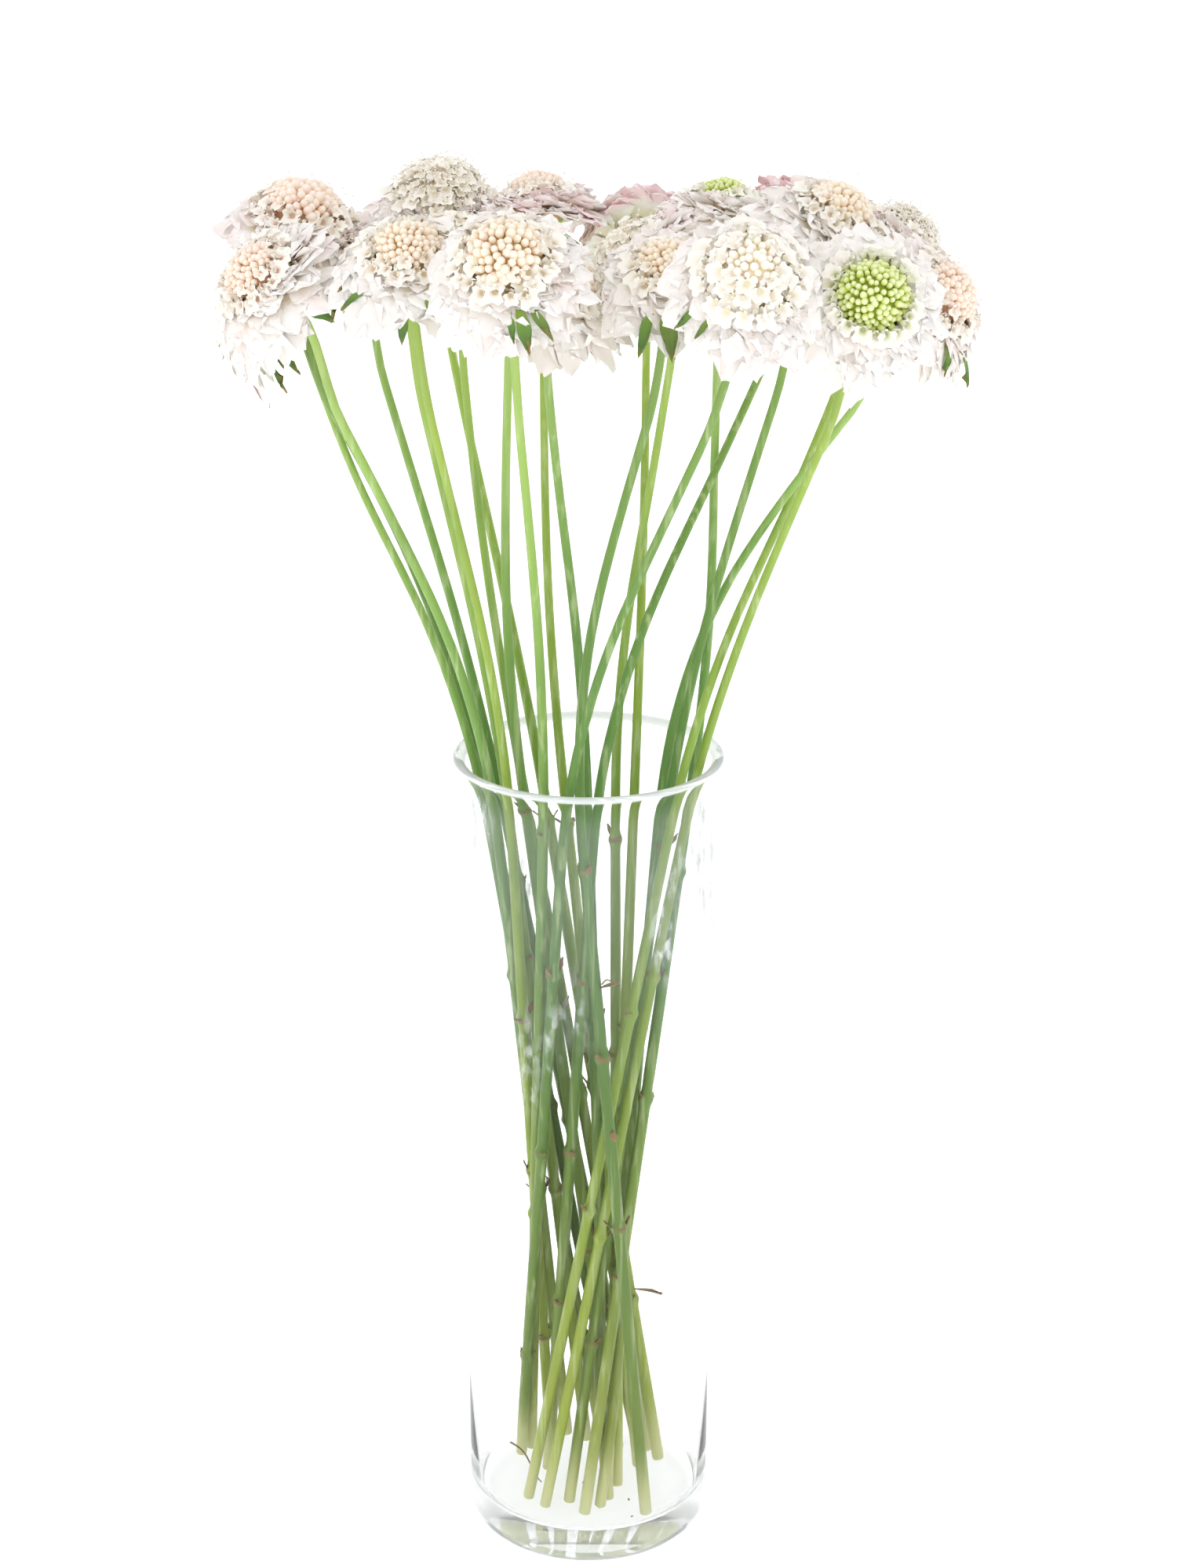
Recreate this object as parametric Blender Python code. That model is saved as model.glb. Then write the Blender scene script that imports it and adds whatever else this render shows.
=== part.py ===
"""Cut scabiosa flowers standing in a clear glass cylinder vase.

Metres, +Z up. The origin is the middle of the vase's underside, on the surface that it stands on.
The front of the bunch faces -Y. Lengths in this file are written in millimetres and scaled by MM.
"""

import math

import bmesh
import bpy
import numpy as np
from mathutils import Vector

MM = 0.001
SEED = 22

# The vase, turned from one profile
VASE_HEIGHT = 300.0
VASE_OUTER_R = 44.5
VASE_WALL = 2.0
VASE_FLOOR_Z = 12.0
VASE_HEEL_R = 6.0
VASE_INNER_CORNER_R = 4.0
LIP_R = 47.0
LIP_THICK = 1.6
LIP_FLARE_H = 5.0
VASE_SEGMENTS = 36

# Stems, straight-sided in the vase and narrowing above it towards the neck
STEM_R = 2.2
NECK_R = 1.55
NECK_Z = 450.0
STEM_SIDES = 6
STEM_GAP = 0.45
FOOT_Z = VASE_FLOOR_Z + 0.35
TWIST_DEG = 105.0
FOOT_SPREAD = 0.74
NECK_REACH = 46.0
NECK_UPRIGHT = 2.5
RIM_REACH = 60.0
RING_HEIGHTS = (0.0, 0.18, 0.34, 0.50, 0.66, 0.83, 1.0)
ARC_STEPS = (0.28, 0.54, 0.75, 0.90, 1.0)

# The green cup and the leafy bracts under a head, along the head's axis from the cup's top
CUP_R = 6.6
CUP_TOP = -0.3
CUP_SIDE = -1.6
CUP_WAIST = -4.2
CUP_FOOT = -8.5
BRACT_REACH = 16.0
BRACT_HALF_WIDTH = 2.9
BRACT_THICK = 0.9

# A head's core, as (height above the cup, radius), and its whorls of petals
PETALS = 9
PETAL_THICK = 0.8
RUFFLE = 2.3
TIP_REACH = 1.13
CORE = ((0.0, 7.0), (1.6, 12.0), (4.4, 13.4), (6.4, 12.6), (8.4, 10.8))
HEAD_R = 28.0
# Petals as stations of (radius, height, share of the petal's wedge)
OUTER_PETAL = ((19.5, 2.8, 1.0), (24.8, 0.8, 0.80))
INNER_PETAL = ((16.0, 10.2, 1.0), (19.8, 12.2, 0.78))
MIDDLE_PETAL = ((10.5, 15.4, 0.9),)
HEAD_CENTRE = 6.0
BUD_BASE = 8.75
BUD_R = 9.9
BUD_H = 9.0
BUD_COUNT = 20
CELL_MARGIN = 0.3
LEAST_PETAL = 0.3

# Each head: name, centre of the bloom (x, y, z), lean of its axis from upright and the way it leans
# (degrees, 0 is +X and -90 the front), its stem's place at the vase's rim as angle and radius, and its
# buds: "cream", "salmon", "lime", or "open" where the florets in the middle have opened too.
HEADS = (
    ("01", (-113, 4, 454), 72, 180, (172, 39), "cream"),
    ("02", (-103, -40, 472), 50, 215, (212, 39), "salmon"),
    ("03", (-95, 8, 482), 16, -45, (186, 39), "salmon"),
    ("04", (-56, -54, 481), 28, -95, (226, 39), "cream"),
    ("05", (-52, 71, 478), 8, -90, (122, 38), "open"),
    ("06", (-25, -80, 484), 40, -95, (247, 38), "cream"),
    ("07", (-17, 56, 480), 12, 110, (115, 26), "salmon"),
    ("08", (-8, -32, 467), 35, -60, (95, 11), "cream"),
    ("09", (17, 68, 469), 58, 100, (40, 22), "open"),
    ("10", (15, 3, 472), 42, 190, (62, 20), "open"),
    ("11", (25, -43, 474), 24, -85, (262, 30), "cream"),
    ("12", (49, -82, 480), 47, -85, (259, 39), "open"),
    ("13", (46, 40, 482), 10, 60, (12, 39), "lime"),
    ("14", (75, 76, 473), 52, 78, (279, 21), "open"),
    ("15", (80, 0, 484), 28, -20, (-4, 30), "cream"),
    ("16", (87, -66, 471), 55, -80, (-19, 39), "lime"),
    ("17", (105, 34, 471), 38, 20, (-36, 39), "open"),
    ("18", (112, -24, 463), 58, -30, (26, 30), "salmon"),
    ("19", (-86, 46, 466), 40, 150, (155, 39), "cream"),
    ("20", (-63, -2, 472), 12, 180, (197, 31), "salmon"),
    ("21", (-46, 34, 470), 10, 135, (138, 36), "open"),
    ("22", (-29, 1, 474), 8, 200, (160, 27), "cream"),
)

# A few front stems cross the spiral: their feet, as angle and radius, are placed by eye
CROSSING_FEET = {"11": (-54, 36), "08": (-70, 22)}


def unit(vector):
    """The vector or rows of vectors at length one."""
    vector = np.asarray(vector, float)
    return vector / np.linalg.norm(vector, axis=-1, keepdims=True)


def polar(angle_deg, radius):
    """A point of the plan from its angle and radius."""
    angle = math.radians(angle_deg)
    return np.array([radius * math.cos(angle), radius * math.sin(angle)])


class Head:
    """One flower's place: the centre of its bloom, its axis and the top of its green cup."""

    def __init__(self, number, centre, lean_deg, toward_deg, rim, buds):
        lean = math.radians(lean_deg)
        across = polar(toward_deg, math.sin(lean))
        self.name = number
        self.centre = np.array(centre, float)
        self.axis = np.array([across[0], across[1], math.cos(lean)])
        self.cup = self.centre - HEAD_CENTRE * self.axis
        side = np.cross(self.axis, (0.0, 0.0, 1.0)) if lean_deg else np.array([1.0, 0.0, 0.0])
        self.u = unit(side)
        self.v = np.cross(self.axis, self.u)
        self.rim = polar(*rim)
        foot = CROSSING_FEET.get(number, (rim[0] - TWIST_DEG, rim[1] * FOOT_SPREAD))
        self.foot = polar(*foot)
        self.buds = buds

    def place(self, radius, angle, height):
        """World points from a radius and an angle round the axis and a height along it."""
        radius, angle, height = np.broadcast_arrays(radius, angle, height)
        radius, angle, height = (item[..., None] for item in (radius, angle, height))
        return self.cup + radius * (np.cos(angle) * self.u + np.sin(angle) * self.v) + height * self.axis


def stem_route(head):
    """A stem's centre line: straight from foot to rim, then an arc that comes up under the head."""
    foot = np.array([*head.foot, FOOT_Z])
    rim = np.array([*head.rim, VASE_HEIGHT])
    end = head.cup + CUP_FOOT * head.axis
    straight = [foot + t * (rim - foot) for t in RING_HEIGHTS]
    leave = rim + RIM_REACH * unit(rim - foot)
    # under a nodding head the neck stands nearly upright and turns only in its last stretch
    arrive = end - NECK_REACH * unit(head.axis + np.array([0.0, 0.0, NECK_UPRIGHT]))
    arc = []
    for t in ARC_STEPS:
        arc.append(
            (1 - t) ** 3 * rim + 3 * (1 - t) ** 2 * t * leave + 3 * (1 - t) * t**2 * arrive + t**3 * end
        )
    return np.array(straight + arc)


def nearest_between(a0, a1, b0, b1):
    """The nearest points of rows of segments a and b, as fractions along each."""
    a, b, w = a1 - a0, b1 - b0, a0 - b0
    aa, bb, ab = (a * a).sum(-1), (b * b).sum(-1), (a * b).sum(-1)
    aw, bw = (a * w).sum(-1), (b * w).sum(-1)
    s = np.clip((ab * bw - bb * aw) / np.maximum(aa * bb - ab * ab, 1e-9), 0.0, 1.0)
    t = np.clip((ab * s + bw) / bb, 0.0, 1.0)
    s = np.clip((ab * t - aw) / aa, 0.0, 1.0)
    return s, t


def crowding(routes, width):
    """The pairs of stem segments nearer than width: their stems, segments, fractions and offsets."""
    count, rings = len(routes), len(routes[0])
    found = []
    one, two = (index.ravel() for index in np.meshgrid(range(rings - 1), range(rings - 1), indexing="ij"))
    for i in range(count):
        for j in range(i + 1, count):
            a0, a1 = routes[i][one], routes[i][one + 1]
            b0, b1 = routes[j][two], routes[j][two + 1]
            s, t = nearest_between(a0, a1, b0, b1)
            apart = (a0 + s[:, None] * (a1 - a0)) - (b0 + t[:, None] * (b1 - b0))
            distance = np.linalg.norm(apart, axis=1)
            for k in np.nonzero(distance < width)[0]:
                found.append((i, j, one[k], two[k], s[k], t[k], apart[k], distance[k]))
    return found


def settle(routes):
    """Stems pushed apart until no two touch, kept inside the vase and clear of its lip."""
    routes = [route.copy() for route in routes]
    width = 2 * STEM_R + STEM_GAP
    inside = VASE_OUTER_R - VASE_WALL - STEM_R - STEM_GAP
    for _ in range(400):
        close = crowding(routes, width)
        push = [np.zeros_like(route) for route in routes]
        for i, j, one, two, s, t, apart, distance in close:
            way = np.array([apart[0], apart[1], 0.0])
            way = unit(way) if np.linalg.norm(way) > 1e-6 else np.array([1.0, 0.0, 0.0])
            step = 0.35 * (width - distance + 0.05) * way
            push[i][one] += (1 - s) * step
            push[i][one + 1] += s * step
            push[j][two] -= (1 - t) * step
            push[j][two + 1] -= t * step
        for route, move in zip(routes, push):
            move[-2:] = 0.0
            route += move
            in_vase = route[:, 2] <= VASE_HEIGHT + LIP_FLARE_H
            radius = np.hypot(route[:, 0], route[:, 1])
            scale = np.where(in_vase, np.minimum(1.0, inside / np.maximum(radius, 1e-6)), 1.0)
            route[:, :2] *= scale[:, None]
        if not close:
            break
    print("stem pairs still closer than the gap:", len(close))
    return routes


def half_spaces(head, heads, routes):
    """Planes (normal, reach) that keep a head clear of the other heads and of the other stems."""
    normals, reaches = [], []
    for other, route in zip(heads, routes):
        if other is head:
            continue
        way = other.centre - head.centre
        normals.append(unit(way))
        reaches.append(np.linalg.norm(way) / 2 - CELL_MARGIN)
        chain = np.vstack([route, other.cup])
        start, run = chain[:-1], np.diff(chain, axis=0)
        t = np.clip(((head.centre - start) * run).sum(1) / (run * run).sum(1), 0.0, 1.0)
        away = start + t[:, None] * run - head.centre
        distance = np.linalg.norm(away, axis=1)
        body = np.full(len(distance), STEM_R + CELL_MARGIN)
        body[-1] = CUP_R + CELL_MARGIN
        near = distance < HEAD_R + CUP_R + 12.0
        normals.extend(away[near] / distance[near, None])
        reaches.extend(distance[near] - body[near])
    return np.array(normals), np.array(reaches)


def fitted(root, points, planes, centre):
    """A blade's points drawn back towards its root until they lie inside every plane."""
    normals, reaches = planes
    start = (root - centre) @ normals.T
    run = (points - root) @ normals.T
    room = np.where(run > 1e-9, (reaches - start) / np.maximum(run, 1e-9), np.inf)
    return root + float(np.clip(room.min(), LEAST_PETAL, 1.0)) * (points - root)


def ring_of(bm, points):
    """Vertices of one closed ring."""
    return [bm.verts.new(Vector(point) * MM) for point in points]


def band(bm, low, high):
    """Quads between two rings of equal count, facing out."""
    count = len(low)
    return [bm.faces.new((low[k], low[(k + 1) % count], high[(k + 1) % count], high[k])) for k in range(count)]


def stagger_band(bm, low, high):
    """Triangles between two rings where the high one is turned by half a step."""
    count = len(low)
    for k in range(count):
        following = (k + 1) % count
        bm.faces.new((low[k], low[following], high[k]))
        bm.faces.new((high[k], low[following], high[following]))


def blade(bm, base, sections, tip):
    """A leaf grown from one quad: base and sections are (left low, right low, right high, left high)."""
    last = list(base.verts)
    bm.faces.remove(base)
    for section in sections:
        corners = ring_of(bm, section)
        for k in range(4):
            bm.faces.new((last[k], last[(k + 1) % 4], corners[(k + 1) % 4], corners[k]))
        last = corners
    point = bm.verts.new(Vector(tip) * MM)
    for k in range(4):
        bm.faces.new((last[k], last[(k + 1) % 4], point))


def petal(bm, base, head, planes, angle, half, stations, thick, sway):
    """One petal: stations are (radius, height, share of its wedge), and sway lifts one edge over the other."""
    root = np.mean([np.array(vert.co) / MM for vert in base.verts], axis=0)
    rows = []
    for radius, height, share in stations:
        spread = share * half - 0.2 / radius
        edge = sway * radius / HEAD_R
        left = head.place(radius, angle - spread, height - edge)
        right = head.place(radius, angle + spread, height + edge)
        rows.extend([left, right])
    radius, height, share = stations[-1]
    rows.append(head.place(radius * TIP_REACH, angle, height + 0.4))
    rows = fitted(root, np.array(rows), planes, head.centre)
    lift = 0.5 * thick * head.axis
    sections = []
    for k in range(len(stations)):
        left, right = rows[2 * k], rows[2 * k + 1]
        sections.append((left - lift, right - lift, right + lift, left + lift))
    blade(bm, base, sections, rows[-1])


def whorl(bm, faces, head, planes, stations, thick, draw, droop=0.0, turn=0.0):
    """A ring of petals, one from each face of a band, ruffled and drooping more on the low side."""
    half = math.pi / PETALS
    down = math.atan2(-head.v[2], -head.u[2])
    for k, face in enumerate(faces):
        angle = (2 * k + 1) * half + turn
        low_side = 0.5 + 0.5 * math.cos(angle - down)
        size = 1.0 - 0.08 * draw.random()
        lower = droop * (0.35 + 0.65 * low_side * math.hypot(head.axis[0], head.axis[1]))
        shaped = []
        for radius, height, share in stations:
            out = (radius - CORE[2][1]) / (HEAD_R - CORE[2][1])
            shaped.append((radius * size, height - lower * max(out, 0.0), share))
        sway = (RUFFLE if k % 2 else -RUFFLE) * (0.6 + 0.4 * draw.random())
        petal(bm, face, head, planes, angle, half, shaped, thick, sway)


def core_ring(bm, head, height, radius, turn=0.0):
    """One ring of a head's core."""
    angles = 2 * math.pi * np.arange(PETALS) / PETALS + turn
    return ring_of(bm, head.place(radius, angles, height))


def finish(bm, name, material):
    """The bmesh as a new object with one material and outward faces."""
    mesh = bpy.data.meshes.new(name)
    bmesh.ops.recalc_face_normals(bm, faces=bm.faces)
    bm.to_mesh(mesh)
    bm.free()
    mesh.materials.append(material)
    item = bpy.data.objects.new(name, mesh)
    bpy.context.scene.collection.objects.link(item)
    return item


def make_bloom(head, planes, material, draw):
    """White florets of one head: a domed core with two whorls of petals, or three where it is open."""
    bm = bmesh.new()
    half = math.pi / PETALS
    rings = [core_ring(bm, head, *CORE[0]), core_ring(bm, head, *CORE[1]), core_ring(bm, head, *CORE[2])]
    rings += [core_ring(bm, head, *CORE[3], half), core_ring(bm, head, *CORE[4], half)]
    bm.faces.new(reversed(rings[0]))
    band(bm, rings[0], rings[1])
    outer = band(bm, rings[1], rings[2])
    stagger_band(bm, rings[2], rings[3])
    inner = band(bm, rings[3], rings[4])
    if head.buds == "open":
        top = core_ring(bm, head, 10.2, 8.4)
        crown = core_ring(bm, head, 12.4, 6.4)
        # the ring above is turned back by half a step, so the stagger runs the other way
        stagger_band(bm, rings[4], top[1:] + top[:1])
        middle = band(bm, top, crown)
        bm.faces.new(crown)
        whorl(bm, middle, head, planes, MIDDLE_PETAL, 1.4, draw)
    else:
        bm.faces.new(rings[4])
    whorl(bm, outer, head, planes, OUTER_PETAL, PETAL_THICK, draw, droop=9.0)
    whorl(bm, inner, head, planes, INNER_PETAL, PETAL_THICK, draw, turn=half)
    return finish(bm, "bloom_" + head.name, material)


def make_buds(head, material, draw):
    """The dome of closed florets: rounded bumps in a sunflower spiral, raised out of a low dome."""
    bm = bmesh.new()
    golden = math.pi * (3.0 - math.sqrt(5.0))
    turn = 2 * math.pi * draw.random()
    tops = set()
    for k in range(BUD_COUNT):
        out = math.sqrt((k + 0.5) / BUD_COUNT) * 0.92
        point = head.place(BUD_R * out, golden * k + turn, BUD_BASE + BUD_H * math.sqrt(1 - out * out))
        tops.add(bm.verts.new(Vector(point) * MM))
    ring_of(bm, head.place(BUD_R, 2 * math.pi * np.arange(10) / 10, BUD_BASE))
    bmesh.ops.convex_hull(bm, input=bm.verts)
    middle = Vector(head.place(0.0, 0.0, BUD_BASE + 1.0)) * MM
    dome = [face for face in bm.faces if any(vert in tops for vert in face.verts)]
    poked = bmesh.ops.poke(bm, faces=dome)
    for vert in poked["verts"]:
        vert.co = middle + (vert.co - middle) * 0.86
    return finish(bm, "buds_" + head.name, material)


def make_stem(head, route, planes, material):
    """A stalk with its cup and bracts: rings along the route, six bracts grown from the cup's side."""
    bm = bmesh.new()
    angles = 2 * math.pi * np.arange(STEM_SIDES) / STEM_SIDES
    rings = []
    side = head.u
    for k, point in enumerate(route):
        if k == 0:
            along = np.array([0.0, 0.0, 1.0])
        elif k == len(route) - 1:
            along = head.axis
        else:
            along = unit(route[k + 1] - route[k - 1])
        side = unit(side - (side @ along) * along)
        across = np.cross(along, side)
        radius = np.interp(point[2], (VASE_HEIGHT, NECK_Z), (STEM_R, NECK_R))
        around = np.outer(np.cos(angles), side) + np.outer(np.sin(angles), across)
        rings.append(ring_of(bm, point + radius * around))
    # the last ring's own directions carry on through the cup, so its bands don't twist
    local = math.atan2(side @ head.v, side @ head.u)
    for height, radius in ((CUP_WAIST, 3.6), (CUP_SIDE, 6.0), (CUP_TOP, CUP_R)):
        rings.append(ring_of(bm, head.place(radius, angles + local, height)))
    bm.faces.new(reversed(rings[0]))
    for low, high in zip(rings[:-3], rings[1:-2]):
        band(bm, low, high)
    green = band(bm, rings[-3], rings[-2])
    band(bm, rings[-2], rings[-1])
    bm.faces.new(rings[-1])
    for k, face in enumerate(green):
        angle = angles[k] + local + math.pi / STEM_SIDES
        root = head.place(5.0, angle, (CUP_WAIST + CUP_SIDE) / 2)
        reach = BRACT_REACH * (1.0 if k % 2 else 0.8)
        rows = []
        for out, drop, wide in ((0.45, 0.30, BRACT_HALF_WIDTH), (1.0, 0.95, 0.0)):
            middle = root + head.place(reach * out, angle, -reach * drop) - head.cup
            across = head.place(1.0, angle + math.pi / 2, 0.0) - head.cup
            rows.extend([middle - wide * across, middle + wide * across])
        rows = fitted(root, np.array(rows), planes, head.centre)
        lift = 0.5 * BRACT_THICK * head.axis
        blade(bm, face, [(rows[0] - lift, rows[1] - lift, rows[1] + lift, rows[0] + lift)], rows[2])
    return finish(bm, "stem_" + head.name, material)


def make_vase(material):
    """The vase: its wall's profile from the middle of the underside round to the middle of the floor."""
    inner_r = VASE_OUTER_R - VASE_WALL
    profile = [(0.0, 0.0)]
    for step in range(4):
        angle = math.radians(-90 + 30 * step)
        centre_r = VASE_OUTER_R - VASE_HEEL_R
        profile.append((centre_r + VASE_HEEL_R * math.cos(angle), VASE_HEEL_R * (1 + math.sin(angle))))
    profile += [(VASE_OUTER_R, 150.0), (VASE_OUTER_R, VASE_HEIGHT - LIP_FLARE_H)]
    profile += [(VASE_OUTER_R + 0.9, VASE_HEIGHT - LIP_THICK - 0.8), (LIP_R, VASE_HEIGHT - LIP_THICK)]
    profile += [(LIP_R, VASE_HEIGHT - 0.4), (LIP_R - 0.6, VASE_HEIGHT), (inner_r + 0.8, VASE_HEIGHT)]
    profile += [(inner_r, VASE_HEIGHT - 1.2), (inner_r, 150.0)]
    for step in range(3):
        angle = math.radians(-45 * step)
        centre_r = inner_r - VASE_INNER_CORNER_R
        height = VASE_FLOOR_Z + VASE_INNER_CORNER_R * (1 + math.sin(angle))
        profile.append((centre_r + VASE_INNER_CORNER_R * math.cos(angle), height))
    profile.append((0.0, VASE_FLOOR_Z))
    bm = bmesh.new()
    line = [bm.verts.new((radius * MM, 0.0, height * MM)) for radius, height in profile]
    edges = [bm.edges.new(pair) for pair in zip(line[:-1], line[1:])]
    bmesh.ops.spin(
        bm, geom=line + edges, cent=(0, 0, 0), axis=(0, 0, 1), angle=2 * math.pi, steps=VASE_SEGMENTS
    )
    bmesh.ops.remove_doubles(bm, verts=bm.verts, dist=1e-6)
    vase = finish(bm, "vase", material)
    vase.data.shade_smooth()
    vase.data.set_sharp_from_angle(angle=math.radians(40))
    return vase


def material_of(name, colour, roughness, alpha=1.0):
    """A Principled material of one colour."""
    material = bpy.data.materials.new(name)
    material.use_nodes = True
    shader = material.node_tree.nodes["Principled BSDF"]
    shader.inputs["Base Color"].default_value = (*colour, 1.0)
    shader.inputs["Roughness"].default_value = roughness
    shader.inputs["Metallic"].default_value = 0.0
    shader.inputs["Alpha"].default_value = alpha
    return material


def main():
    """Clears the scene, then builds the vase and each stem, bloom and bud dome."""
    for item in list(bpy.data.objects):
        bpy.data.objects.remove(item, do_unlink=True)
    glass = material_of("clear_glass", (0.94, 0.97, 0.98), 0.05, 0.3)
    green = material_of("stem_green", (0.36, 0.53, 0.18), 0.5)
    white = material_of("petal_white", (0.94, 0.91, 0.89), 0.8)
    bud_colours = {
        "cream": material_of("buds_cream", (0.92, 0.87, 0.70), 0.7),
        "salmon": material_of("buds_salmon", (0.91, 0.73, 0.62), 0.7),
        "lime": material_of("buds_lime", (0.68, 0.78, 0.38), 0.7),
    }
    draw = np.random.default_rng(SEED)
    heads = [Head(*row) for row in HEADS]
    routes = settle([stem_route(head) for head in heads])
    make_vase(glass)
    for head, route in zip(heads, routes):
        planes = half_spaces(head, heads, routes)
        make_stem(head, route, planes, green)
        make_bloom(head, planes, white, draw)
        if head.buds in bud_colours:
            make_buds(head, bud_colours[head.buds], draw)


main()
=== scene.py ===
# %% [markdown]
# # Cut scabiosa in a glass cylinder
# The real thing is a tall clear vase, a bundle of twenty-two green stalks that cross in a spiral, and a
# cloud of white pincushion flowers. It could be scanned or sculpted by hand; here every surface is a small
# formula worked out with numpy, so that each flower differs a little and the whole can be changed by
# changing a number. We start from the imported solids: they fix where everything is, and our pieces take
# the places of the plain ones.

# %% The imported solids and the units
import math

import bpy
import numpy as np
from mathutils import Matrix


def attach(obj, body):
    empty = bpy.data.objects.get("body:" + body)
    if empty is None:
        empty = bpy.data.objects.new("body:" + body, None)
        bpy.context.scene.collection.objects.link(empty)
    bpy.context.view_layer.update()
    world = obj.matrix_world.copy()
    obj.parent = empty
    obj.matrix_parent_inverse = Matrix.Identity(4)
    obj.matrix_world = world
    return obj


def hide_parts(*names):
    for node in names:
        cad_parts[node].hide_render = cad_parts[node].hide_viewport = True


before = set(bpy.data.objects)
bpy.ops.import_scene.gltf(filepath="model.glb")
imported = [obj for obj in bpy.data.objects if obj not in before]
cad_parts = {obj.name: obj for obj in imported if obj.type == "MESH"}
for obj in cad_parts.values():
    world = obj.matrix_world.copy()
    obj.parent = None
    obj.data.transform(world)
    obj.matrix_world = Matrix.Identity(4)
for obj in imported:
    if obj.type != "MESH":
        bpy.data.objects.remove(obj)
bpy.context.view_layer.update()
MM = 0.001
SEED = 11
draw = np.random.default_rng(SEED)
print("solids:", len(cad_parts))

# %% [markdown]
# ## The camera
# The photograph looks down at the vase by about twenty degrees, from just over a metre away, with a
# long lens. An empty to track would do, but a fixed place and tilt say the same in two lines.

# %% The camera
TILT_DOWN = 19.73
lens = bpy.data.cameras.new("camera")
camera = bpy.data.objects.new("camera", lens)
bpy.context.scene.collection.objects.link(camera)
camera.location = (0.0, -1.030, 0.658)
camera.rotation_euler = (math.radians(90 - TILT_DOWN), 0.0, 0.0)
lens.sensor_fit = "VERTICAL"
lens.sensor_height = 36.0
lens.lens = 72.04
lens.clip_start = 0.01
bpy.context.scene.camera = camera
print("camera looks down by", TILT_DOWN, "degrees")

# %% [markdown]
# ## Where each flower is
# Every flower has a centre, an axis that it faces along, and a kind of middle: round buds that are cream,
# salmon or lime, small open florets, or a fluffy ball of stamens. The centres and axes are the values that
# the solids were built from.

# %% The flowers
HEAD_TABLE = (
    # name, centre in mm, lean from upright and the way it leans in degrees, middle, pinkness, middle's size
    ("01", (-113, 4, 454), 72, 180, "cream", 0.22, 0.85),
    ("02", (-103, -40, 472), 50, 215, "salmon", 0.12, 1.00),
    ("03", (-95, 8, 482), 16, -45, "salmon", 0.34, 1.30),
    ("04", (-56, -54, 481), 28, -95, "cream", 0.00, 1.05),
    ("05", (-52, 71, 478), 8, -90, "fluffy", 0.15, 1.42),
    ("06", (-25, -80, 484), 40, -95, "cream", 0.12, 1.22),
    ("07", (-17, 56, 480), 12, 110, "salmon", 0.45, 1.00),
    ("08", (-8, -32, 467), 35, -60, "cream", 0.15, 0.90),
    ("09", (17, 68, 469), 58, 100, "open", 1.00, 0.90),
    ("10", (15, 3, 472), 42, 190, "open", 0.35, 0.90),
    ("11", (25, -43, 474), 24, -85, "cream", 0.18, 1.00),
    ("12", (49, -82, 480), 47, -85, "open", 0.10, 1.25),
    ("13", (46, 40, 482), 10, 60, "lime", 0.15, 0.85),
    ("14", (75, 76, 473), 52, 78, "open", 1.00, 0.90),
    ("15", (80, 0, 484), 28, -20, "cream", 0.12, 1.10),
    ("16", (87, -66, 471), 55, -80, "lime", 0.00, 1.06),
    ("17", (105, 34, 471), 38, 20, "fluffy", 0.35, 1.00),
    ("18", (112, -24, 463), 58, -30, "salmon", 0.05, 1.08),
    ("19", (-86, 46, 466), 40, 150, "cream", 0.15, 1.00),
    ("20", (-63, -2, 472), 12, 180, "salmon", 0.15, 1.00),
    ("21", (-46, 34, 470), 10, 135, "open", 0.10, 1.00),
    ("22", (-29, 1, 474), 8, 200, "cream", 0.15, 1.00),
)
CUP_BELOW_CENTRE = 6.0
CUP_FOOT = 8.5


def unit(vectors):
    """Vectors at length one: each divided by its own length."""
    vectors = np.asarray(vectors, float)
    return vectors / np.linalg.norm(vectors, axis=-1, keepdims=True)


class Head:
    """One flower's frame: cup is the middle of its underside, axis its facing, u and v two ways across.

    axis = (sin lean cos toward, sin lean sin toward, cos lean); down is the angle from u, round the
    axis, of the side that faces the ground."""

    def __init__(self, name, centre, lean, toward, middle, pink, grown):
        lean, toward = math.radians(lean), math.radians(toward)
        self.name, self.middle, self.pink, self.grown = name, middle, pink, grown
        self.centre = np.array(centre, float)
        side = math.sin(lean)
        self.axis = np.array([side * math.cos(toward), side * math.sin(toward), math.cos(lean)])
        self.cup = self.centre - CUP_BELOW_CENTRE * self.axis
        self.u = unit(np.cross(self.axis, (0.0, 0.0, 1.0)))
        self.v = np.cross(self.axis, self.u)
        self.basis = np.stack([self.u, self.v, self.axis])
        self.down = math.atan2(-self.v[2], -self.u[2])

    def world(self, local):
        """Points of the flower's own frame in the shared frame."""
        return self.cup + local @ self.basis


heads = [Head(*row) for row in HEAD_TABLE]
print("flowers:", len(heads))

# %% [markdown]
# ## Gathering a piece
# A flower has hundreds of small parts, and a separate object for each would be slow and hard to handle.
# So parts of one kind are computed together, as one array of points for all of them, and gathered in one
# mesh. Three numbers ride on each point for the materials to read: tone runs from a part's root to its
# tip, vary differs from part to part or marks a scar, and mark tells what kind of part it is.

# %% A shape and its mesh
# edges that turn by less than this many degrees are shaded smooth
SMOOTH_BELOW = 100


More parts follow.
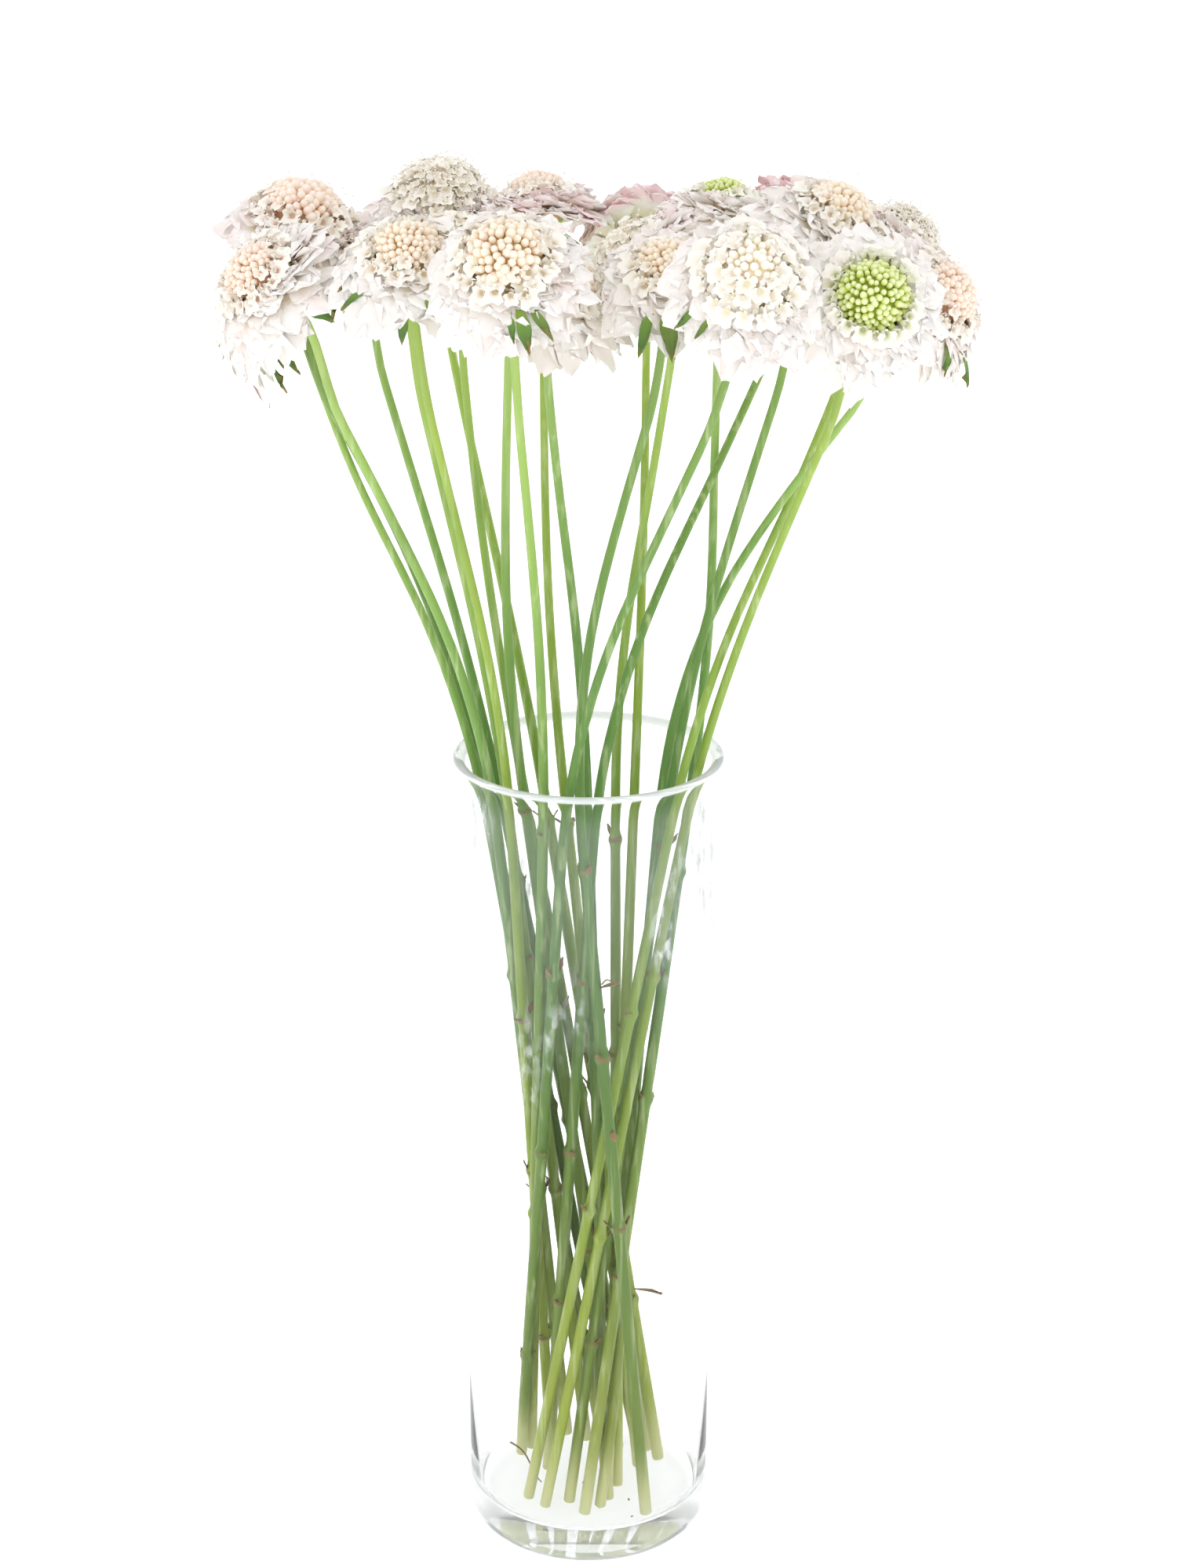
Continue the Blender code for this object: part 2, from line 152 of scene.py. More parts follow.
class Shape:
    """Points in millimetres, faces, and the numbers on the points, gathered part by part."""

    def __init__(self):
        self.points, self.faces, self.tone, self.vary, self.mark, self.count = [], [], [], [], [], 0

    def add(self, points, faces, tone=0.0, vary=0.0, mark=0.0):
        """Many parts with the same faces: points is (parts, points in each, 3)."""
        parts, each = points.shape[:2]
        starts = self.count + each * np.arange(parts)[:, None, None]
        self.faces += [(face[None] + starts).reshape(-1, face.shape[1]) for face in faces]
        self.points.append(points.reshape(-1, 3))
        for store, value in ((self.tone, tone), (self.vary, vary), (self.mark, mark)):
            store.append(np.broadcast_to(value, (parts, each)).ravel())
        self.count += parts * each

    def join(self, part, head):
        """Another shape, made in a flower's own frame, placed and added."""
        self.faces += [face + self.count for face in part.faces]
        self.points += [head.world(points) for points in part.points]
        self.tone += part.tone
        self.vary += part.vary
        self.mark += part.mark
        self.count += part.count

    def piece(self, name, finish, stands_for):
        """The gathered mesh as an object that rides on the part."""
        mesh = bpy.data.meshes.new(name)
        points = np.concatenate(self.points) * MM
        mesh.vertices.add(len(points))
        mesh.vertices.foreach_set("co", points.ravel())
        corners = np.concatenate([face.ravel() for face in self.faces])
        sizes = np.concatenate([np.full(len(face), face.shape[1]) for face in self.faces])
        mesh.loops.add(len(corners))
        mesh.loops.foreach_set("vertex_index", corners.astype(np.int32))
        mesh.polygons.add(len(sizes))
        mesh.polygons.foreach_set("loop_start", np.concatenate([[0], np.cumsum(sizes)[:-1]]).astype(np.int32))
        mesh.update(calc_edges=True)
        for label, store in (("tone", self.tone), ("vary", self.vary), ("mark", self.mark)):
            values = mesh.attributes.new(label, "FLOAT", "POINT")
            values.data.foreach_set("value", np.concatenate(store).astype(np.float32))
        mesh.shade_smooth()
        mesh.set_sharp_from_angle(angle=math.radians(SMOOTH_BELOW))
        mesh.materials.append(finish)
        item = bpy.data.objects.new(name, mesh)
        bpy.context.scene.collection.objects.link(item)
        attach(item, "root")
        if stands_for:
            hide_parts(*stands_for)


# %% [markdown]
# ## Two ways to make a surface
# Everything that is round in section, such as a stalk, a bud or a trumpet-shaped floret, is a stack of
# rings. Everything thin, such as a petal or a leaf, is a sheet on a grid that is given a top and a bottom
# which meet along its outline, so even a petal is a closed body.

# %% Stacks of rings and closed sheets


def stack(rings):
    """Quads between neighbouring rings and a cap at each end. rings is (parts, rings, points round, 3)."""
    parts, rows, sides = rings.shape[:3]
    index = np.arange(rows * sides).reshape(rows, sides)
    following = np.roll(index, -1, axis=1)
    quads = np.stack([index[:-1], following[:-1], following[1:], index[1:]], -1).reshape(-1, 4)
    return rings.reshape(parts, rows * sides, 3), [quads, index[:1, ::-1], index[-1:]]


def across(axis, near):
    """Two unit vectors square to axis; the first lies as close to near as it can."""
    first = unit(near - (near * axis).sum(-1, keepdims=True) * axis)
    return first, np.cross(axis, first)


def ring_round(axis, near, sides):
    """The ways out to a ring's corners, square to axis: cos a * first + sin a * second."""
    first, second = across(axis, near)
    angle = 2 * np.pi * np.arange(sides) / sides
    return np.cos(angle)[:, None] * first[..., None, :] + np.sin(angle)[:, None] * second[..., None, :]


def tubes(paths, radii, sides, near):
    """A round section carried along paths (parts, steps, 3): point = path + radius * way out."""
    ring = ring_round(unit(np.gradient(paths, axis=1)), near, sides)
    return paths[..., None, :] + radii[..., None, None] * ring


def closed_sheet(middle, thick, tone):
    """A sheet (parts, rows, columns, 3) with half its thickness added on each side along its own normal.

    The outline is shared by top and bottom, so the sheet thins to nothing there and is closed."""
    parts, rows, cols = middle.shape[:3]
    normal = unit(np.cross(np.gradient(middle, axis=2), np.gradient(middle, axis=1)))
    lift = np.zeros((rows, cols, 1))
    lift[1:-1, 1:-1] = thick / 2
    top = (middle + lift * normal).reshape(parts, -1, 3)
    low = (middle - lift * normal)[:, 1:-1, 1:-1].reshape(parts, -1, 3)
    upper = np.arange(rows * cols).reshape(rows, cols)
    lower = upper.copy()
    lower[1:-1, 1:-1] = rows * cols + np.arange((rows - 2) * (cols - 2)).reshape(rows - 2, cols - 2)
    quads = [
        np.stack([grid[:-1, :-1], grid[:-1, 1:], grid[1:, 1:], grid[1:, :-1]], -1).reshape(-1, 4)
        for grid in (upper, lower)
    ]
    tone = np.broadcast_to(tone, (rows, cols))
    tones = np.concatenate([tone.ravel(), tone[1:-1, 1:-1].ravel()])
    return np.concatenate([top, low], axis=1), [quads[0], quads[1][:, ::-1]], tones


# %% [markdown]
# ## Petal lobes and leaves
# A scabiosa's outer florets have broad crumpled lobes with wavy edges. A lobe is one formula: it grows
# along its own way out, widens by a profile, bends with the square of the length, and carries waves that
# grow towards its edge. With a pointed profile and no waves the same formula gives the green bracts.

# %% The lobe formula
PETAL_PROFILE = (0.26, 0.78, 1.06, 1.12, 0.92, 0.50)
FRILL_PROFILE = (0.45, 0.90, 1.04, 0.92, 0.50)
LEAF_PROFILE = (0.42, 0.72, 0.95, 1.00, 0.90, 0.68, 0.40, 0.07)
LEAF_TONES = np.linspace(0, 1, len(LEAF_PROFILE))[:, None]


def lobes(origin, out, up, length, width, bend, wave, profile, cols, draw, cup=0.10, nick=0.025):
    """Lobes on a grid, s along from 0 to 1 and t across from -1 to 1. The rows crowd towards the tip,
    where the outline turns: s = 1 - (1 - row)^1.5.

    point = origin + out * length * (s - 0.15 s^3 (t^2 + t^4) + nick * s^5 * a sine of t)
          + side * (t * half width(s) + a sideways sway that grows with s^2)
          + up * (wave * s^1.4 * two sines of t + cup * width * s * t^2 - bend * length * s^2)"""
    parts, rows = len(origin), len(profile)
    s = (1.0 - (1.0 - np.linspace(0.0, 1.0, rows)) ** 1.5)[None, :, None]
    t = np.linspace(-1.0, 1.0, cols)[None, None, :]
    length, width, bend, wave = (
        np.broadcast_to(value, (parts,))[:, None, None] for value in (length, width, bend, wave)
    )
    phase = draw.uniform(0.0, 2 * np.pi, (4, parts, 1, 1))
    pace = draw.uniform(0.9, 1.6, (parts, 1, 1))
    half = np.array(profile)[None, :, None] * width / 2
    rim = nick * s**5 * np.sin(7.5 * t + phase[0])
    along = length * (s - 0.15 * s**3 * (t**2 + t**4) + rim)
    sway = 0.10 * length * np.sin(phase[3]) * s**2
    waves = np.sin(np.pi * pace * t + phase[1]) * (0.35 + 0.65 * t**2)
    waves = waves + 0.40 * s * np.sin(2.0 * np.pi * pace * t + phase[2])
    high = wave * s**1.4 * waves + cup * width * s * t**2 - bend * length * s**2
    out, up = unit(out)[:, None, None], up[:, None, None]
    up = unit(up - (up * out).sum(-1, keepdims=True) * out)
    side = np.cross(out, up)
    shape = origin[:, None, None] + along[..., None] * out
    return shape + (t * half + sway)[..., None] * side + high[..., None] * up


def fan(around, lift, yaw):
    """Ways out of a flower's frame: around the axis, raised by lift, and turned by yaw within the petal."""
    turn = around + yaw
    return np.stack([np.cos(lift) * np.cos(turn), np.cos(lift) * np.sin(turn), np.sin(lift)], -1)


# %% [markdown]
# ## Buds, small florets and stamens
# The middle of each flower is a dome of closed buds in a sunflower spiral. Where they have opened they
# are little five-lobed trumpets, each with a throat. Fine stamens with pale anthers stand out of them,
# and against the light they are what softens the flower's outline.

# %% Formulas of the flower's middle
GOLDEN = math.pi * (3.0 - math.sqrt(5.0))
DOME_BASE, DOME_R, DOME_H = 8.2, 9.9, 8.6
SIDES_IN_LOBE, LOBES = 3, 5
FILAMENT_R, ANTHER_R = 0.09, 0.30


def dome(count, grown, start, stop, draw):
    """Places and facings on the dome, between the radii start and stop as shares of its own.

    For number k of count, height falls evenly with k and the angle is k times the golden angle, so every
    part of the dome gets its share; then both are shaken a little."""
    k = np.arange(count)
    top, foot = math.sqrt(1 - start**2), math.sqrt(max(1 - stop**2, 0.0))
    high = top - (top - foot) * (k + draw.uniform(0.3, 0.7, count)) / count
    share = np.sqrt(1 - high**2)
    angle = GOLDEN * k + draw.uniform(0, 6.28) + draw.uniform(-0.5, 0.5, count) / np.sqrt(k + 1.0)
    ring = np.stack([np.cos(angle) * share, np.sin(angle) * share, high], -1)
    size = np.array((DOME_R, DOME_R, DOME_H)) * grown * draw.uniform(0.95, 1.05, (count, 1))
    return ring * size + (0, 0, DOME_BASE), unit(ring * (0.8, 0.8, 1.0) + draw.normal(0, 0.10, (count, 3)))


def buds(place, facing, size, tall, sides=8):
    """Egg-shaped buds: rings of radius size * cos(latitude) at height size * tall * sin(latitude)."""
    latitude = np.radians((-62, -28, 8, 40, 66, 83) if sides > 5 else (-60, 0, 60))
    ring = ring_round(facing, np.array([0.31, 0.95, 0.05]), sides)
    size = np.broadcast_to(size, (len(place),))[:, None, None, None]
    rings = np.cos(latitude)[:, None, None] * ring[:, None] * size
    rings = rings + (tall * np.sin(latitude)[:, None, None] * facing[:, None, None, :]) * size
    points, faces = stack(rings + place[:, None, None, :])
    return points, faces, np.repeat(np.interp(np.sin(latitude), (-1, 0.2, 1), (0.25, 0.6, 1.0)), sides)


def trumpets(place, facing, outward, size, tall, draw):
    """Five-lobed florets: an outer wall up to a lobed rim and an inner wall down to the throat.

    The rim's radius is 1.1 on each lobe and 0.7 in each notch, and grows on the side away from the
    flower's middle; its lobes fold down a little by chance."""
    count, sides = len(place), SIDES_IN_LOBE * LOBES
    ring = ring_round(facing, outward, sides)
    radius = np.array((0.24, 0.36, 0.66, 1.0, 0.60, 0.26))[:, None]
    height = np.array((0.0, 0.45, 0.80, 1.0, 0.90, 0.55))[:, None]
    rim = np.array((0.0, 0.0, 0.35, 1.0, 0.45, 0.0))[:, None]
    notch = np.tile((-0.28, 0.10, 0.10), LOBES)
    longer = 0.42 * np.cos(2 * np.pi * np.arange(sides) / sides)
    fold = np.repeat(draw.uniform(-0.30, 0.30, (count, LOBES)), SIDES_IN_LOBE, axis=1)[:, None, :]
    size = np.broadcast_to(size, (count,))[:, None, None]
    radius = size * radius * (1 + rim * (notch + longer))
    height = tall * height + size * rim * (fold + 0.25 * longer)
    rings = radius[..., None] * ring[:, None] + height[..., None] * facing[:, None, None, :]
    points, faces = stack(rings + place[:, None, None, :])
    return points, faces, np.repeat((0.30, 0.40, 0.70, 1.0, 0.60, 0.15), sides)


def stamens(shape, place, facing, tall, draw):
    """Thin curved filaments with an anther at the tip: place + facing * tall * s + sideways * s^2."""
    count = len(place)
    s = np.linspace(0.0, 1.0, 4)[None, :, None]
    sideways = draw.normal(0.0, 0.28, (count, 3))
    tall = tall * draw.uniform(0.7, 1.15, (count, 1, 1))
    paths = place[:, None] + tall * (s * facing[:, None] + s**2 * sideways[:, None])
    points, faces = stack(tubes(paths, np.full((count, 4), FILAMENT_R), 3, np.array([0.3, 0.9, 0.2])))
    shape.add(points, faces, 0.92, 0.0, 0.9)
    points, faces, tones = buds(paths[:, -1], unit(sideways), ANTHER_R, 1.9, 5)
    shape.add(points, faces, 0.92, 0.3, 0.7)


# %% [markdown]
# ## Shader maths as sentences
# A material is a graph of nodes. Wiring it call by call hides the idea, so a small class wraps an output
# socket and lets + - * / add the Math nodes. Every other node comes from one method.

# %% The socket wrapper


class Wire:
    """One output socket in a material. Sums and products of wires add Math nodes."""

    def __init__(self, tree, socket):
        self.tree, self.socket = tree, socket

    def node(self, kind, settings=None, values=None, out=0):
        """Any node: its settings first, then the values or wires of its sockets, then one output."""
        made = self.tree.nodes.new(kind)
        for key, value in (settings or {}).items():
            if key == "stops":
                ramp = made.color_ramp.elements
                ramp[0].position, ramp[0].color = value[0][0], (*value[0][1], 1)
                ramp[1].position, ramp[1].color = value[-1][0], (*value[-1][1], 1)
                for place, colour in value[1:-1]:
                    ramp.new(place).color = (*colour, 1)
            else:
                setattr(made, key, value)
        for key, value in (values or {}).items():
            if isinstance(value, Wire):
                self.tree.links.new(value.socket, made.inputs[key])
            else:
                made.inputs[key].default_value = value
        return Wire(self.tree, made.outputs[out])

    def maths(self, operation, one, two):
        """A Math node that works on two wires or numbers."""
        return self.node("ShaderNodeMath", {"operation": operation}, {0: one, 1: two})

    def __add__(self, other):
        return self.maths("ADD", self, other)

    def __sub__(self, other):
        return self.maths("SUBTRACT", self, other)

    def __rsub__(self, other):
        return self.maths("SUBTRACT", other, self)

    def __mul__(self, other):
        return self.maths("MULTIPLY", self, other)

    __radd__, __rmul__ = __add__, __mul__

    def larger(self, other):
        """The larger of two wires."""
        return self.maths("MAXIMUM", self, other)

    def clear(self, low, high):
        """The wire spread so that low becomes 0 and high becomes 1, and kept between them."""
        values = {"Value": self, "From Min": low, "From Max": high}
        return self.node("ShaderNodeMapRange", {"interpolation_type": "SMOOTHSTEP"}, values)

    def ramp(self, *stops):
        """A colour for each value, from (place, colour) stops."""
        return self.node("ShaderNodeValToRGB", {"stops": stops}, {0: self})

    def between(self, one, two):
        """Colour one where the wire is 0 and colour two where it is 1."""
        one, two = (value if isinstance(value, Wire) else (*value, 1.0) for value in (one, two))
        return self.node("ShaderNodeMix", {"data_type": "RGBA"}, {0: self, 6: one, 7: two}, 2)


def rgb(red, green, blue):
    """A colour as screens give it, 0 to 255, turned into light."""
    return tuple((value / 255.0) ** 2.2 for value in (red, green, blue))


class Finish(Wire):
    """A new material. Its surface is a Principled shader; constants are set on its sockets."""

    def __init__(self, name, **constants):
        self.material = bpy.data.materials.new(name)
        self.material.use_nodes = True
        self.tree = self.material.node_tree
        self.surface = self.tree.nodes["Principled BSDF"]
        for key, value in constants.items():
            self.surface.inputs[key.replace("_", " ")].default_value = value

    def read(self, label):
        """A number that rides on the mesh's points."""
        return self.node("ShaderNodeAttribute", {"attribute_name": label}, out=2)

    def noise(self, scale, stretch=(1.0, 1.0, 1.0), detail=3.0):
        """Cloudy noise on Object coordinates; a stretch below 1 draws it out along that way."""
        place = self.node("ShaderNodeTexCoord", out=3)
        place = self.node("ShaderNodeMapping", None, {0: place, 3: stretch})
        return self.node("ShaderNodeTexNoise", None, {"Vector": place, "Scale": scale, "Detail": detail})

    def feed(self, **wires):
        """Wires into the Principled shader's sockets."""
        for key, wire in wires.items():
            self.tree.links.new(wire.socket, self.surface.inputs[key.replace("_", " ")])

    def bump(self, wire, strength, depth):
        """A height wire as the shader's Normal, depth in metres."""
        values = {"Height": wire, "Strength": strength, "Distance": depth}
        self.feed(Normal=self.node("ShaderNodeBump", None, values))


# %% [markdown]
# ## The petals' finish
# The petals are dull white, cream at the throat, and washed with pink on some flowers. Real ones let light
# glow through. Subsurface scattering could give that, but on sheets a third of a millimetre thick it
# leaves dark lines, so they are pale and plain, and noise breaks up the wash so that no two match.

# %% Petals
petal = Finish("petal_white", Roughness=0.7, Specular_IOR_Level=0.1)
tone, vary = petal.read("tone"), petal.read("vary")
cloud = petal.noise(90.0)
wash = (vary * (0.35 + 1.3 * cloud.clear(0.3, 0.75)) * tone.clear(-0.2, 0.9)).clear(0.0, 1.0)
white = cloud.clear(0.35, 0.7).between(rgb(252, 249, 246), rgb(250, 244, 239))
body = wash.between(white, rgb(252, 228, 230))
petal.feed(Base_Color=tone.clear(0.02, 0.45).between(rgb(238, 226, 196), body))
vein = petal.noise(700.0, (1.0, 1.0, 1.0), 2.0)
petal.bump(vein, 0.12, 0.0003)

# %% [markdown]
# ## The finishes of the flower's middle
# One recipe serves them all: a darker colour at the root, which is painted shade in the crevices between
# the buds and in the florets' throats, the body's colour, and a pale tip, with a second body colour mixed in
# from bud to bud. Stamens and open florets carry a mark and stay pale. The fluffy middles share the finish
# of the open ones.

# %% Buds and small florets


def middle_finish(name, crevice_shade, body, other, tip):
    """A ramp along tone from the crevice colour, which is painted shade, to body to tip, body shifted towards
    other by vary.
    """
    finish = Finish(name, Roughness=0.5, Specular_IOR_Level=0.25)
    tone, vary, mark = finish.read("tone"), finish.read("vary"), finish.read("mark")
    cloud = finish.noise(260.0)
    plain = (vary + 0.5 * (cloud - 0.5)).clear(0.15, 0.85).between(body, other)
    # painted shade: the darker crevice colour at the root of each bud and in each floret's throat
    lower = tone.clear(0.10, 0.55).between(crevice_shade, plain)
    colour = (tone.clear(0.60, 0.98) * 0.9).between(lower, tip)
    finish.feed(Base_Color=mark.between(colour, rgb(252, 248, 240)))
    finish.bump(finish.noise(900.0), 0.2, 0.0002)
    return finish.material


MIDDLE_COLOURS = {
    # for each finish: crevice (painted shade), body, the other body and tip
    "buds_cream": ((196, 168, 110), (243, 226, 194), (243, 218, 194), (253, 245, 230)),
    "buds_salmon": ((198, 152, 116), (243, 213, 192), (246, 228, 204), (253, 240, 229)),
    "buds_lime": ((140, 156, 48), (204, 220, 108), (220, 228, 142), (240, 244, 198)),
    "florets_open": ((244, 235, 198), (251, 244, 222), (249, 236, 222), (254, 251, 245)),
}
middle_finishes = {
    name.split("_")[1]: middle_finish(name, *(rgb(*colour) for colour in colours))
    for name, colours in MIDDLE_COLOURS.items()
}
middle_finishes["fluffy"] = middle_finishes["open"]
print("finishes of the middle:", ", ".join(MIDDLE_COLOURS))

# %% [markdown]
# ## The green finish
# A cut stalk is yellow-green at its foot, deeper green half-way up and fresh lime under the flower, with
# pale streaks along it, which are its ribs and painted highlight lines at once, and brown scars where leaves
# were stripped. Its lowest three centimetres or so are painted pale: painted light from the glow through the
# vase's base. The mark tells stalks from leaves (1) and from dry scraps (2), and its value on a stalk, from
# 0 to 0.24, makes that stalk darker or yellower.

# %% Stalks and leaves
green = Finish("stem_green", Roughness=0.42, Specular_IOR_Level=0.4)
tone, vary, mark = green.read("tone"), green.read("vary"), green.read("mark")
stalk = tone.ramp(
    (0.0, rgb(156, 166, 72)),
    (0.25, rgb(132, 156, 66)),
    (0.50, rgb(92, 138, 66)),
    (0.72, rgb(122, 162, 82)),
    (0.88, rgb(158, 194, 102)),
    (1.0, rgb(184, 212, 124)),
)
stalk = (mark.clear(0.10, 0.24) * 0.6).between(stalk, rgb(164, 184, 62))
stalk = ((1.0 - mark.clear(0.0, 0.12)) * 0.6).between(stalk, rgb(84, 122, 50))
# pale streaks along the stalk (its ribs and painted highlight lines), darker patches, and a pale foot that is
# painted light from the glowing base
rib_and_highlight_streak = green.noise(420.0, (1.0, 1.0, 0.03), 4.0)
stalk = (rib_and_highlight_streak.clear(0.48, 0.72) * 0.5).between(stalk, rgb(208, 222, 166))
stalk = (green.noise(30.0).clear(0.45, 0.8) * 0.35).between(stalk, rgb(92, 128, 62))
# painted light: the lowest part of the stalk made pale, as the glow through the vase's base lights it
stalk = (1.0 - tone.clear(0.0, 0.07)).between(stalk, rgb(214, 216, 158))
leaf = tone.ramp(
    (0.0, rgb(160, 188, 86)),
    (0.3, rgb(110, 146, 62)),
    (0.7, rgb(82, 116, 54)),
    (0.92, rgb(136, 124, 58)),
    (1.0, rgb(156, 112, 66)),
)
# leaves and scraps by the mark, and scars by vary
brown = green.noise(400.0).between(rgb(104, 84, 52), rgb(170, 146, 96))
colour = mark.clear(0.3, 0.7).between(stalk, leaf)
colour = mark.clear(1.3, 1.7).between(colour, brown)
green.feed(Base_Color=vary.clear(0.25, 0.9).between(colour, brown))
green.bump(green.noise(700.0, (1.0, 1.0, 0.08)), 0.35, 0.0004)

# %% [markdown]
# ## The glass
# The vase is clear and thick-bottomed, with limescale and smudges left on the upper wall. Clear glass is
# a Principled shader that transmits, with a low IOR, as the photograph shows next to no reflection on it.
# The deposits are a second, dull white one, and a mask of noise that changes with height mixes the two.
# A thin veil of the same white on the rim is a painted highlight, and on the heel it is dust together with
# painted light, the glow that comes through the thick base; it makes the rim and the heel show against the
# white room.

# %% Clear glass
DEPOSIT_AND_PAINTED_LIGHT = {"Base Color": (0.955, 0.98, 1.0, 1.0), "Roughness": 0.6}
glass = Finish("clear_glass", Base_Color=(1, 1, 1, 1), Roughness=0.0, IOR=1.18, Transmission_Weight=1.0)
place = glass.node("ShaderNodeTexCoord", out=3)
height = glass.node("ShaderNodeSeparateXYZ", None, {0: place}, 2)
patch = glass.noise(22.0, (1.0, 1.0, 0.45), 4.0).clear(0.50, 0.68)
fleck = glass.noise(300.0, (1.0, 1.0, 0.4), 5.0).clear(0.50, 0.66)
band = height.clear(0.15, 0.22) * (1.0 - height.clear(0.288, 0.297))
veil = height.clear(0.18, 0.27) * (1.0 - height.clear(0.285, 0.297)) * (patch * 0.12 + 0.05)
# the heel: dust on the thick base, and painted light standing for the glow that comes through it
heel_dust_and_painted_light = (1.0 - height.clear(0.004, 0.030)) * 0.16
# painted highlight: the lip made dull white where light catches the glass edge
rim = height.clear(0.2972, 0.2984) * 0.6
# the mask mixes real limescale with the painted highlight on the rim and the painted light on the heel
scale_and_painted_light_mask = (patch * fleck * band * 0.8 + veil).larger(heel_dust_and_painted_light.larger(rim))
clear = Wire(glass.tree, glass.surface.outputs[0])
deposit_and_painted_light = glass.node("ShaderNodeBsdfPrincipled", None, DEPOSIT_AND_PAINTED_LIGHT)
mixed = glass.node("ShaderNodeMixShader", None, {0: scale_and_painted_light_mask, 1: clear, 2: deposit_and_painted_light})
glass.tree.links.new(mixed.socket, glass.tree.nodes["Material Output"].inputs["Surface"])

# %% [markdown]
# ## The vase
# A glass cylinder like this is pulled and fire-polished: even walls, a thick floor with soft corners, and
# a small flat flange at the mouth. One profile turned round the axis makes it; it runs from the middle of
# the underside, up outside, over the lip, and down inside to the middle of the floor.

# %% Turn the vase
VASE_SIDES = 128
VASE_PROFILE = (
    # radius and height in mm
    (6.0, 0.9), (34.0, 0.7), (37.0, 0.0), (39.6, 0.0), (42.2, 1.0), (43.9, 3.4), (44.5, 6.4), (44.5, 14.0),
    (44.5, 60.0), (44.5, 120.0), (44.5, 180.0), (44.5, 240.0), (44.5, 290.0), (44.7, 294.5), (45.4, 297.0),
    (46.4, 298.2), (47.0, 298.8), (47.1, 299.4), (46.7, 299.9), (45.6, 300.0), (44.2, 299.7), (43.2, 298.8),
    (42.6, 297.0), (42.5, 294.0), (42.5, 240.0), (42.5, 180.0), (42.5, 120.0), (42.5, 60.0), (42.5, 19.0),
    (41.9, 15.4), (40.4, 13.1), (37.6, 12.1), (30.0, 11.9), (8.0, 11.8),
)
profile = np.array(VASE_PROFILE)
angle = 2 * np.pi * np.arange(VASE_SIDES) / VASE_SIDES
radius, height = profile[:, :1], np.repeat(profile[:, 1:], VASE_SIDES, axis=1)
# point = (radius * cos a, radius * sin a, height)
rings = np.stack([radius * np.cos(angle), radius * np.sin(angle), height], -1)
vase = Shape()
vase.add(*stack(rings[None]))
vase.piece("vase_glass", glass.material, ["vase"])
print("vase: %d rings of %d points" % (len(profile), VASE_SIDES))

# %% [markdown]
# ## The stalks' routes
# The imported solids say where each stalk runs. Cutting a solid at a level and taking the middle of the cut
# gives a point of its centre line. Near the flower the leaves would spoil that, so the last stretch is a
# smooth curve that ends along the flower's axis.

# %% Read the centre lines
# heights in mm of the first and last cut, their number, and rounds of evening out
FOOT_CUT, LAST_CUT, CUTS = 12.6, 424.0, 42
ROUNDS = 6


def centre_line(name, levels):
    """The middle of the box round the points where a solid's edges cross each level.

    crossing = low end + (level - its height) / (rise of the edge) * (high end - low end)"""
    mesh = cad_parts[name].data
    points = np.empty(3 * len(mesh.vertices))
    mesh.vertices.foreach_get("co", points)
    ends = np.empty(2 * len(mesh.edges), int)
    mesh.edges.foreach_get("vertices", ends)
    low, high = (points.reshape(-1, 3)[ends.reshape(-1, 2)] / MM).transpose(1, 0, 2)
    rise = np.where(high[:, 2] == low[:, 2], 1.0, high[:, 2] - low[:, 2])
    share = (levels[:, None] - low[:, 2]) / rise
    crossing = ((levels[:, None] - low[:, 2]) * (levels[:, None] - high[:, 2]) < 0)[..., None]
    spots = low + share[..., None] * (high - low)
    least = np.where(crossing, spots, np.inf).min(1)
    most = np.where(crossing, spots, -np.inf).max(1)
    return (least + most) / 2


def whole_route(head):
    """The middles of the cuts, each evened out with its neighbours, and then a curve to the cup.

    curve = (2t^3 - 3t^2 + 1) line's end + (t^3 - 2t^2 + t) leave + (3t^2 - 2t^3) cup's foot
          + (t^3 - t^2) arrive, which leaves along the stalk and arrives along the flower's axis"""
    line = centre_line("stem_" + head.name, np.linspace(FOOT_CUT, LAST_CUT, CUTS))
    for _ in range(ROUNDS):
        line[1:-1] = (line[:-2] + 2 * line[1:-1] + line[2:]) / 4
    end = head.cup - CUP_FOOT * head.axis
    reach = np.linalg.norm(end - line[-1])
    leave, arrive = unit(line[-1] - line[-3]) * reach, head.axis * reach * 0.8
    t = np.linspace(0.0, 1.0, 16)[1:, None]
    bend = (2 * t**3 - 3 * t**2 + 1) * line[-1] + (t**3 - 2 * t**2 + t) * leave
    bend = bend + (3 * t**2 - 2 * t**3) * end + (t**3 - t**2) * arrive
    return np.vstack([line, bend])


routes = [whole_route(head) for head in heads]
lengths = [np.linalg.norm(np.diff(route, axis=0), axis=1).sum() for route in routes]
print("stalks: %.0f to %.0f mm long" % (min(lengths), max(lengths)))

# %% [markdown]
# ## The stalks
# A stalk is a tube on its route, narrower towards the flower, with a swollen joint every eight centimetres
# or so in the vase, where a pair of leaves was stripped and left a scar and brown stubs. It widens into
# the green cup under the flower, and a ring of bracts hangs from the cup.

# %% Make the stalks
# in mm: the last place for a joint, radii at 0, 200, 290, 400 and the end, and extra rings near a joint
STALK_SIDES = 12
LAST_JOINT = 275.0
STALK_RADII = (2.15, 2.0, 1.68, 1.42, 1.4)
NEAR_JOINT = (-5.0, -3.0, -1.6, -0.6, 0.4, 1.4, 2.6, 4.5)
# height above the cup's top and radius
CUP_RINGS = ((-6.6, 1.9), (-4.4, 3.4), (-2.4, 5.4), (-0.8, 6.9), (1.0, 8.2), (2.6, 7.0))


